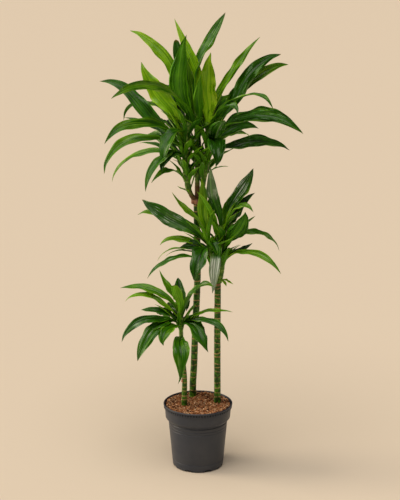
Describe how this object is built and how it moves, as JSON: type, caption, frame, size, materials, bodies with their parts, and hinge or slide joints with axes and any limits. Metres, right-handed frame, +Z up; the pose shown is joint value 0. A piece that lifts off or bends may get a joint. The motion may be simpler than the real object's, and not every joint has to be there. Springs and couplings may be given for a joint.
{
  "type": "potted corn plant",
  "caption": "Tall house plant in a round nursery pot: bare ringed canes of unequal height, each topped by a head of long arching leaves.",
  "frame": {"origin": "centre of the pot's flat base, on the floor", "axes": "+Z up; +X to the plant's right seen from the front, which faces -Y"},
  "size_m": [0.6734, 0.5756, 1.549],
  "materials": {
    "charcoal_plastic": "moulded, satin matt",
    "bark_and_coir": "loose bark chips and fibre",
    "green_cane": "smooth green bark with tan leaf scars",
    "pale_cane": "smooth young green stem",
    "leaf_green": "waxy, half gloss"
  },
  "bodies": {
    "root": {"pot": "charcoal_plastic", "substrate": "bark_and_coir", "cane_tall": "green_cane", "cane_middle": "green_cane", "cane_short": "pale_cane", "crown_tall": "leaf_green", "crown_middle": "leaf_green", "crown_short": "leaf_green"}
  },
  "joints": []
}
